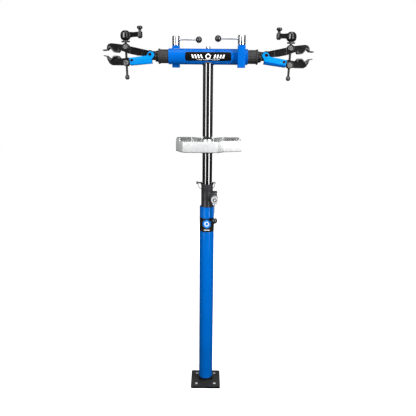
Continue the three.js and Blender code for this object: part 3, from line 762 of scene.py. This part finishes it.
# ---------------------------------------------------------------- floor plate and posts
def weld_bead(radius, height, thickness, ripples):
    """A rippled fillet of weld metal round a tube."""
    nothing_selected()
    bpy.ops.mesh.primitive_torus_add(
        major_radius=radius, minor_radius=thickness, major_segments=ripples * 4, minor_segments=10,
        location=(0, 0, height),
    )
    bead = bpy.context.active_object
    settle(bead)
    for vertex in bead.data.vertices:
        angle = math.atan2(vertex.co.y, vertex.co.x)
        outward = Vector((vertex.co.x, vertex.co.y, 0)).normalized()
        vertex.co += outward * (0.5 * MM * math.cos(angle * ripples))
    smooth(bead, 60)
    return bead


def make_base():
    plate = cad_copy("base_plate")
    rounded(plate, 1.1 * MM)
    smooth(plate)
    finish_piece(
        plate, "floor_plate", plate_black("plate_black"), "stand", ["base_plate"],
    )

    low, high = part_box("base_socket")
    outer, wall = 27.8 * MM, 4 * MM
    socket = pipe(outer, outer - wall, 0, high.z - low.z, foot=(0, 0, low.z))
    rounded(socket, 0.4 * MM, 2)
    smooth(socket)
    finish_piece(socket, "post_socket", cast, "stand", ["base_socket"])
    bead = weld_bead(outer + 1.2 * MM, low.z + 2.2 * MM, 3.2 * MM, 44)
    finish_piece(bead, "socket_weld", cast, "stand")


def make_outer_post():
    low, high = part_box("outer_post")
    wall = 3 * MM
    post = pipe(POST_RADIUS, POST_RADIUS - wall, 0, high.z - low.z, foot=(0, 0, low.z), sides=96)
    rounded(post, 0.7 * MM)
    smooth(post)
    finish_piece(post, "outer_post_tube", post_blue, "stand", ["outer_post"])

    label = pipe(
        POST_RADIUS + LABEL_FILM, POST_RADIUS + LABEL_BACK, -LABEL_HALF_HEIGHT, LABEL_HALF_HEIGHT,
        foot=(0, 0, LABEL_MIDDLE), sides=96,
    )
    smooth(label)
    finish_piece(label, "post_label", post_label("post_label"), "stand")


def make_collar():
    collar = cad_copy("height_collar")
    rounded(collar, 0.8 * MM)
    smooth(collar)
    finish_piece(
        collar, "height_collar_body", collar_grey, "stand", ["height_collar"],
    )
    low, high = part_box("height_bolt")
    axis = middle_of("height_bolt")
    across, height = 14.7 * MM, 6.2 * MM
    bolt = hex_bolt((axis.x, high.y - height, axis.z), (0, 1, 0), across, height, high.y - low.y)
    finish_piece(bolt, "height_pinch_bolt", dark_steel, "stand", ["height_bolt"])


def make_mast():
    low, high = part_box("mast")
    wall = 2.6 * MM
    mast = pipe(MAST_RADIUS, MAST_RADIUS - wall, 0, high.z - low.z, foot=(0, 0, low.z), sides=96)
    seat, seat_half = BAR_RADIUS + 0.3 * MM, 50 * MM
    saddle = turned([(seat, -seat_half), (seat, seat_half)], BAR_AXIS, (1, 0, 0), 96)
    pin_height = joints["pin_bail_swing"]["pos_m"][2]
    hole, drill_half, hole_spacing, hole_count = 3.7 * MM, 30 * MM, 50 * MM, 5
    drill = [(hole, -drill_half), (hole, drill_half)]
    holes = [
        turned(drill, (0, 0, pin_height - step * hole_spacing), (1, 0, 0), 24)
        for step in range(hole_count)
    ]
    carve(mast, saddle)
    carve(mast, merged(*holes))
    smooth(mast, 30)
    finish_piece(mast, "mast_tube", enamel, "mast", ["mast"])
    bead = weld_bead(MAST_RADIUS + 0.6 * MM, 0, 1.6 * MM, 30)
    for vertex in bead.data.vertices:
        drop = math.sqrt(max(0.0, BAR_RADIUS ** 2 - vertex.co.y ** 2))
        vertex.co.z += BAR_HEIGHT - drop - 0.7 * MM
    finish_piece(bead, "saddle_weld", enamel, "mast")


# ---------------------------------------------------------------- hitch pin and bail
def make_hitch_pin():
    low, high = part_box("hitch_pin")
    length = (high.x - low.x) / MM
    radius, head = 3.4, 5.6
    neck = radius * 0.8
    rows = [
        (head * 0.8, 0), (head, 0.8), (head, 5.2), (head * 0.85, 6), (radius, 6),
        (radius, length - 6.2), (neck, length - 5.8), (neck, length - 4.6),
        (radius, length - 4.2), (radius, length - 2), (radius * 0.55, length),
    ]
    pin = turned(in_metres(rows), (low.x, 0, middle_of("hitch_pin").z), (1, 0, 0), 32)
    smooth(pin, 30)
    finish_piece(pin, "hitch_pin_turned", zinc, "mast", ["hitch_pin"])


def make_bail():
    """Spring wire from an eye at the pin's head, round behind the mast, to an eye at its tip."""
    low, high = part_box("pin_bail")
    height = joints["pin_bail_swing"]["pos_m"][2]
    thick, eye, inset = 1.25 * MM, 5.0 * MM, 1.3 * MM
    left, right = low.x + inset, high.x - inset
    back, drop = high.y - inset, height - low.z - inset
    middle = (left + right) / 2
    points = [
        (left, eye * 0.7, height - eye * 0.7),
        (left, back * 0.4, height - drop * 0.5),
        (left * 0.72, back * 0.83, height - drop * 0.92),
        (middle, back, height - drop),
        (right * 0.78, back * 0.88, height - drop * 0.88),
        (right, back * 0.45, height - drop * 0.45),
        (right, eye * 0.7, height - eye * 0.7),
    ]
    wire = wire_piece(points, thick)
    eyes = []
    for place in (left, right):
        nothing_selected()
        bpy.ops.mesh.primitive_torus_add(
            major_radius=eye, minor_radius=thick, major_segments=28, minor_segments=10,
            location=(place, 0, height), rotation=(0, math.radians(90), 0),
        )
        eyes.append(bpy.context.active_object)
        settle(eyes[-1])
    for loop in eyes:
        carve(wire, loop, "UNION")
    smooth(wire, 50)
    finish_piece(wire, "pin_bail_wire", zinc, "pin_bail", ["pin_bail"])


# ---------------------------------------------------------------- lock levers
def ball_rows(radius, first, last):
    """Rows of a sphere's outline between two angles from its foot."""
    count = 22
    angles = [math.radians(first + (last - first) * step / count) for step in range(count + 1)]
    return [(radius * math.sin(angle), -radius * math.cos(angle)) for angle in angles]


def make_lock_lever(name, foot, axis, lever_direction, plating):
    """Chromed hub standing on foot along axis, its rod and ball pointing in lever_direction."""
    hub_rows = [
        (13.2, 0), (14.6, 0.9), (15, 2.2), (15, 30.5), (14.4, 31.2), (14.4, 32.2), (15, 32.9),
        (15, 35.2), (14.2, 36.6), (12.8, 37), (9.2, 37), (8.5, 36.4), (8.3, 32.4), (5.3, 32.4),
        (5.1, 36), (4.6, 36.5), (0.6, 36.5),
    ]
    hub = turned(in_metres(hub_rows), foot, axis, 72)
    smooth(hub, 28)
    finish_piece(hub, f"{name}_chrome_hub", plating, name, [f"{name}_hub"])

    ring = pipe(8.2 * MM, 5.3 * MM, 32.5 * MM, 36.4 * MM, foot, axis, 48)
    rounded(ring, 0.4 * MM, 2)
    smooth(ring)
    finish_piece(ring, f"{name}_hub_seal", ball_black, name)

    rod_height, reach, ball_radius = 23.5 * MM, 92 * MM, 12.7 * MM
    root = Vector(foot) + Vector(axis) * rod_height
    rod_rows = [(4.6, 14.2), (4.6, 17.2), (3.0, 18.4), (3.0, 79), (4.0, 79.6), (4.0, 81.2)]
    lever = turned(in_metres(rod_rows), root, lever_direction, 32)
    rounded(lever, 0.3 * MM, 2)
    smooth(lever)
    finish_piece(lever, f"{name}_chrome_rod", plating, name, [f"{name}_rod"])

    centre = root + Vector(lever_direction) * reach
    ball = turned(ball_rows(ball_radius, 24, 176), centre, lever_direction, 56)
    smooth(ball, 50)
    finish_piece(ball, f"{name}_knob", ball_black, name, [f"{name}_ball"])


def make_levers():
    foot = middle_of("height_lever_hub")
    foot.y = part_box("height_lever_hub")[1].y
    make_lock_lever("height_lever", foot, (0, -1, 0), (0, 0, -1), satin_chrome)
    for inward, name in ((-1, "right_lever"), (1, "left_lever")):
        foot = middle_of(f"{name}_hub")
        foot.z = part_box(f"{name}_hub")[0].z
        make_lock_lever(name, foot, UP, (inward, 0, 0), chrome)


# ---------------------------------------------------------------- cross bar
def mirrored_rows(outer_rows):
    """Rows that run inwards from one end, then the same ones running out to the other end."""
    return [(radius, -place) for radius, place in outer_rows] + outer_rows[::-1]


def make_bar():
    """A tube with a lock lug at each end, the right one in front and the left one behind."""
    end, lip = BAR_HALF_LENGTH, 0.8 * MM
    rows = mirrored_rows([(BAR_RADIUS - lip, end), (BAR_RADIUS, end - lip)])
    bar = turned(rows, BAR_AXIS, (1, 0, 0), 96)
    lug_bore, screw_bore, through = 13 * MM, 5.6 * MM, 50 * MM
    bores = []
    for side in (1, -1):
        foot = BAR_AXIS + Vector(((BAR_HALF_LENGTH - LUG_INSET) * side, -LUG_OUT * side, 0))
        lug = block(foot - LUG_HALF, foot + LUG_HALF)
        rounded(lug, 2.2 * MM, 4)
        carve(bar, lug, "UNION")
        bores.append(turned([(lug_bore, -through), (lug_bore, LUG_ROOF)], foot, UP, 40))
        roof_hole = [(screw_bore, LUG_ROOF - 1 * MM), (screw_bore, through)]
        bores.append(turned(roof_hole, foot, UP, 32))
    mouth = mirrored_rows([(BAR_BORE + 2 * lip, end + lip), (BAR_BORE, end - lip)])
    bores.append(turned(mouth, BAR_AXIS, (1, 0, 0), 96))
    bores.append(turned([(screw_bore, -40 * MM), (screw_bore, 40 * MM)], BAR_AXIS, UP, 32))
    for bore in bores:
        carve(bar, bore)
    smooth(bar, 28)
    finish_piece(bar, "bar_weldment", blue, "mast", ["bar"])


def make_bar_label():
    half_length, half_height, near, far = 90.5 * MM, 17 * MM, -45 * MM, -10 * MM
    label = pipe(
        BAR_RADIUS + LABEL_FILM, BAR_RADIUS + LABEL_BACK, -half_length, half_length,
        foot=BAR_AXIS, direction=(1, 0, 0), sides=128,
    )
    window = block(
        BAR_AXIS + Vector((-half_length, near, -half_height)),
        BAR_AXIS + Vector((half_length, far, half_height)),
    )
    bevel_edges(window, runs_front_to_back, 7.5 * MM)
    carve(label, window, "INTERSECT")
    smooth(label, 40)
    finish_piece(label, "bar_label", bar_label("bar_label", half_length), "mast")


def make_bar_bolt():
    low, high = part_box("bar_bolt")
    across, height, crown = 17.2 * MM, 8 * MM, 1.8 * MM
    bolt = hex_bolt((0, 0, high.z - height), UP, across, height, high.z - low.z, crown)
    finish_piece(bolt, "bar_hex_bolt", chrome, "mast", ["bar_bolt"])


# ---------------------------------------------------------------- tool tray
def make_tray():
    tray = cad_copy("tray")
    rounded(tray, 0.45 * MM, 2)
    smooth(tray)
    finish_piece(tray, "tray_pan", tray_metal, "tray", ["tray"])
    collar = cad_copy("tray_collar")
    rounded(collar, 0.6 * MM, 2)
    smooth(collar)
    finish_piece(collar, "tray_collar_body", cast, "tray_carriage", ["tray_collar"])

    low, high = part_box("tray_knob")
    end = (high.y - low.y) / MM
    start, radius = end - 12, 8.9
    rows = [
        (3.0, 0), (3.0, start), (6.0, start), (radius, start + 1.4), (radius, end - 1.8),
        (8.0, end - 0.5), (6.4, end), (5.8, end - 0.6),
    ]
    knob = turned(in_metres(rows), sides=64)
    press_flutes(knob, (start + 1) * MM, (end - 1.5) * MM, 8, 1.1 * MM, radius * MM)
    knob.matrix_world = frame_on((0, low.y, middle_of("tray_knob").z), (0, 1, 0))
    settle(knob)
    smooth(knob, 50)
    finish_piece(knob, "tray_thumbscrew", ball_black, "tray_knob", ["tray_knob"])


# ---------------------------------------------------------------- clamp arms
def place_on(joint_name):
    """A joint's anchor and the direction of its axis."""
    joint = joints[joint_name]
    return Vector(joint["pos_m"]), Vector(joint["axis"]).normalized()


def make_sleeve(name, outward):
    foot = BAR_AXIS + outward * 100 * MM
    bore, grip, flange = 19.3, 26.7, 29.5
    rows = [
        (bore, 97), (28.7, 97), (flange, 96.2), (flange, 91), (28.9, 90.3), (grip, 90), (grip, 88),
        (grip, 61), (grip, 60), (grip, 0), (bore, 0), (bore, 97),
    ]
    sleeve = turned(in_metres(rows), sides=108, ring=True)
    press_flutes(sleeve, 60.5 * MM, 88.5 * MM, 18, 0.9 * MM, grip * MM)
    sleeve.matrix_world = frame_on(foot, outward)
    settle(sleeve)
    smooth(sleeve, 30)
    finish_piece(
        sleeve, f"{name}_grip_sleeve", sleeve_black, f"{name}_clamp",
        [f"{name}_sleeve"],
    )

    ring_foot = BAR_AXIS + outward * 197.3 * MM
    ring = pipe(21.8 * MM, bore * MM, 0, 5 * MM, ring_foot, outward, 72)
    rounded(ring, 0.7 * MM)
    smooth(ring)
    finish_piece(
        ring, f"{name}_ground_ring", dark_steel, f"{name}_clamp",
        [f"{name}_neck_ring"],
    )


def sink_sides(piece, reach, rim, depth):
    """Sinks the flat sides beyond reach from the middle plane, and leaves a rim round them."""
    edit(piece, "DESELECT")
    bpy.ops.mesh.select_mode(type="FACE")
    object_mode()
    for face in piece.data.polygons:
        face.select = abs(face.normal.y) > 0.99 and abs(face.center.y) > reach
    bpy.ops.object.mode_set(mode="EDIT")
    bpy.ops.mesh.inset(thickness=rim, depth=-depth)
    object_mode()


def make_casting(node, body, piece_name):
    """A jaw casting: a sunk web inside a rim, with the soft edges that a mould leaves."""
    jaw = cad_copy(node)
    sink_sides(jaw, reach=16.5 * MM, rim=2.2 * MM, depth=1.6 * MM)
    cast_skin(jaw, 0.75 * MM, 4)
    finish_piece(jaw, piece_name, arm_black, body, [node])


def make_cover(node, body, piece_name):
    """A jaw's moulded rubber cover, with a shallow panel in each side."""
    cover = cad_copy(node)
    sink_sides(cover, reach=21 * MM, rim=1.1 * MM, depth=0.9 * MM)
    rounded(cover, 0.4 * MM, 2)
    smooth(cover, 45)
    finish_piece(cover, piece_name, rubber, body, [node])


def make_cross_bolt(node, body, piece_name, head, radius):
    """A bolt right through, with a round recess in each of its two caps."""
    low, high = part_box(node)
    axis = middle_of(node)
    length = (high.y - low.y) / MM
    cap, socket, dip = 2.5, head * 0.48, 1.2
    rows = [
        (socket, dip), (socket, 0), (head - 0.7, 0), (head, 0.7), (head, cap), (radius, cap),
        (radius, length - cap), (head, length - cap), (head, length - 0.7), (head - 0.7, length),
        (socket, length), (socket, length - dip),
    ]
    bolt = turned(in_metres(rows), (axis.x, low.y, axis.z), (0, 1, 0), 36)
    smooth(bolt, 30)
    finish_piece(bolt, piece_name, bolt_brown, body, [node])


def make_trunnion(node, body, piece_name, radius, bore, screw_axis):
    """A cross pin with turned ends, bored for the screw."""
    low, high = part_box(node)
    axis = middle_of(node)
    length = (high.y - low.y) / MM
    rows = [
        (2.2, 1.0), (3.0, 0), (radius - 0.9, 0), (radius, 0.9), (radius, length - 0.9),
        (radius - 0.9, length), (3.0, length), (2.2, length - 1.0),
    ]
    pin = turned(in_metres(rows), (axis.x, low.y, axis.z), (0, 1, 0), 56)
    carve(pin, turned(in_metres([(bore, -16), (bore, 16)]), axis, screw_axis, 32))
    smooth(pin, 30)
    finish_piece(pin, piece_name, zinc, body, [node])


def threaded_bar(low, high, crest, root, lead, starts):
    """A screw with several starts: its outline over one lead, wound round +Z by a Screw modifier."""
    nothing_selected()
    bpy.ops.mesh.primitive_plane_add(size=0.001)
    bar = bpy.context.active_object
    edit(bar)
    bpy.ops.mesh.merge(type="CENTER")
    bpy.ops.transform.translate(value=(root, 0, low))
    pitch = lead / starts
    rise = crest - root
    for _ in range(starts):
        for across, up in ((0, 0.2), (rise, 0.18), (0, 0.28), (-rise, 0.18), (0, 0.16)):
            bpy.ops.mesh.extrude_region_move(TRANSFORM_OT_translate={"value": (across, 0, up * pitch)})
    modify(
        bar, "SCREW", axis="Z", steps=24, render_steps=24, screw_offset=lead,
        iterations=int((high - low) / lead) - 1, use_merge_vertices=True, merge_threshold=0.00001,
    )
    edit(bar)
    bpy.ops.mesh.remove_doubles(threshold=0.00001)
    bpy.ops.mesh.fill_holes(sides=0)
    bpy.ops.mesh.normals_make_consistent(inside=False)
    object_mode()
    return bar


def make_screw(name, place, up):
    """The clamp screw: a plain shank in the crank, the thread below, and a round nut on its foot."""
    thread = threaded_bar(
        low=-113.5 * MM, high=16.5 * MM, crest=4.75 * MM, root=3.95 * MM, lead=5 * MM, starts=2,
    )
    shank = turned(in_metres([(4.2, 8.5), (4.7, 9.5), (4.7, 49.7)]), sides=32)
    screw = merged(thread, shank)
    screw.matrix_world = frame_on(place, up)
    settle(screw)
    smooth(screw, 30)
    finish_piece(
        screw, f"{name}_clamp_screw", dark_steel, f"{name}_screw_pivot",
        [f"{name}_screw"],
    )

    rows = [
        (2.6, -124.6), (4.8, -124.2), (7.2, -121.6), (8.8, -118.2), (9.0, -116.4), (8.4, -113.6),
        (8.0, -112.2), (8.0, -109.4), (7.2, -108.0), (5.6, -107.2),
    ]
    foot = turned(in_metres(rows), place, up, 40)
    smooth(foot, 50)
    finish_piece(
        foot, f"{name}_screw_foot", ball_black, f"{name}_screw_pivot",
        [f"{name}_screw_end"],
    )


def make_crank(name):
    """The cast crank, and the knob whose stem turns in its outer end."""
    crank = cad_copy(f"{name}_crank", flat=False)
    cast_skin(crank, 0.8 * MM, 6)
    finish_piece(
        crank, f"{name}_crank_arm", crank_black, f"{name}_crank", [f"{name}_crank"],
    )

    place, up = place_on(f"{name}_knob_spin")
    half_height = 21.25 * MM
    rise = (middle_of(f"{name}_crank_knob") - place).dot(up)
    foot = place + up * (rise - half_height)
    rows = [
        (4.0, 0), (4.0, 20.3), (5.6, 20.3), (5.6, 28), (6.6, 29.4), (9.6, 31), (11.1, 33.4),
        (11.4, 35.6), (10.7, 38.4), (9.2, 40.4), (7.2, 41.8), (6.4, 41.4),
    ]
    knob = turned(in_metres(rows), foot, up, 48)
    smooth(knob, 50)
    finish_piece(
        knob, f"{name}_spin_knob", ball_black, f"{name}_crank_knob",
        [f"{name}_crank_knob"],
    )


def is_sheet_fold(first, second):
    """Whether an edge is one of a bracket's long outer ones."""
    outside = min(abs(first.y), abs(second.y)) > 16 * MM
    return outside and abs(first.x - second.x) > 80 * MM


def make_bracket(name):
    """The folded bracket, whose two long bottom edges are bends of the sheet."""
    bracket = cad_copy(f"{name}_bracket")
    bevel_edges(bracket, is_sheet_fold, 7 * MM)
    rounded(bracket, 0.5 * MM, 2)
    smooth(bracket)
    finish_piece(
        bracket, f"{name}_folded_bracket", bracket_blue, f"{name}_jaw",
        [f"{name}_bracket"],
    )


def make_arm(name, side):
    outward = Vector((side, 0, 0))
    clamp, jaw, nut, pivot = f"{name}_clamp", f"{name}_jaw", f"{name}_jaw_nut", f"{name}_screw_pivot"
    crank_axis = place_on(f"{name}_crank_turn")[1]
    up = crank_axis if crank_axis.z > 0 else -crank_axis
    pivot_place = place_on(f"{name}_screw_swing")[0]
    make_sleeve(name, outward)
    make_casting(f"{name}_upper_jaw", clamp, f"{name}_upper_casting")
    make_casting(f"{name}_lower_jaw", jaw, f"{name}_lower_casting")
    make_cover(f"{name}_upper_jaw_cover", clamp, f"{name}_upper_pad")
    make_cover(f"{name}_lower_jaw_cover", jaw, f"{name}_lower_pad")
    make_bracket(name)
    make_cross_bolt(f"{name}_pivot_bolt", clamp, f"{name}_hinge_screw", 6.0, 5.0)
    make_cross_bolt(f"{name}_bracket_bolt", jaw, f"{name}_bracket_screw", 5.0, 4.0)
    make_trunnion(f"{name}_upper_trunnion", pivot, f"{name}_upper_cross_pin", 9.0, 5.05, up)
    make_trunnion(f"{name}_lower_trunnion", nut, f"{name}_lower_cross_pin", 10.0, 5.25, up)
    make_screw(name, pivot_place, up)
    make_crank(name)


# ---------------------------------------------------------------- the whole stand
add_camera()
add_stage()
make_base()
make_outer_post()
make_collar()
make_mast()
make_hitch_pin()
make_bail()
make_levers()
make_bar()
make_bar_label()
make_bar_bolt()
make_tray()
make_arm("right", 1)
make_arm("left", -1)
bpy.context.scene.view_settings.view_transform = "Standard"
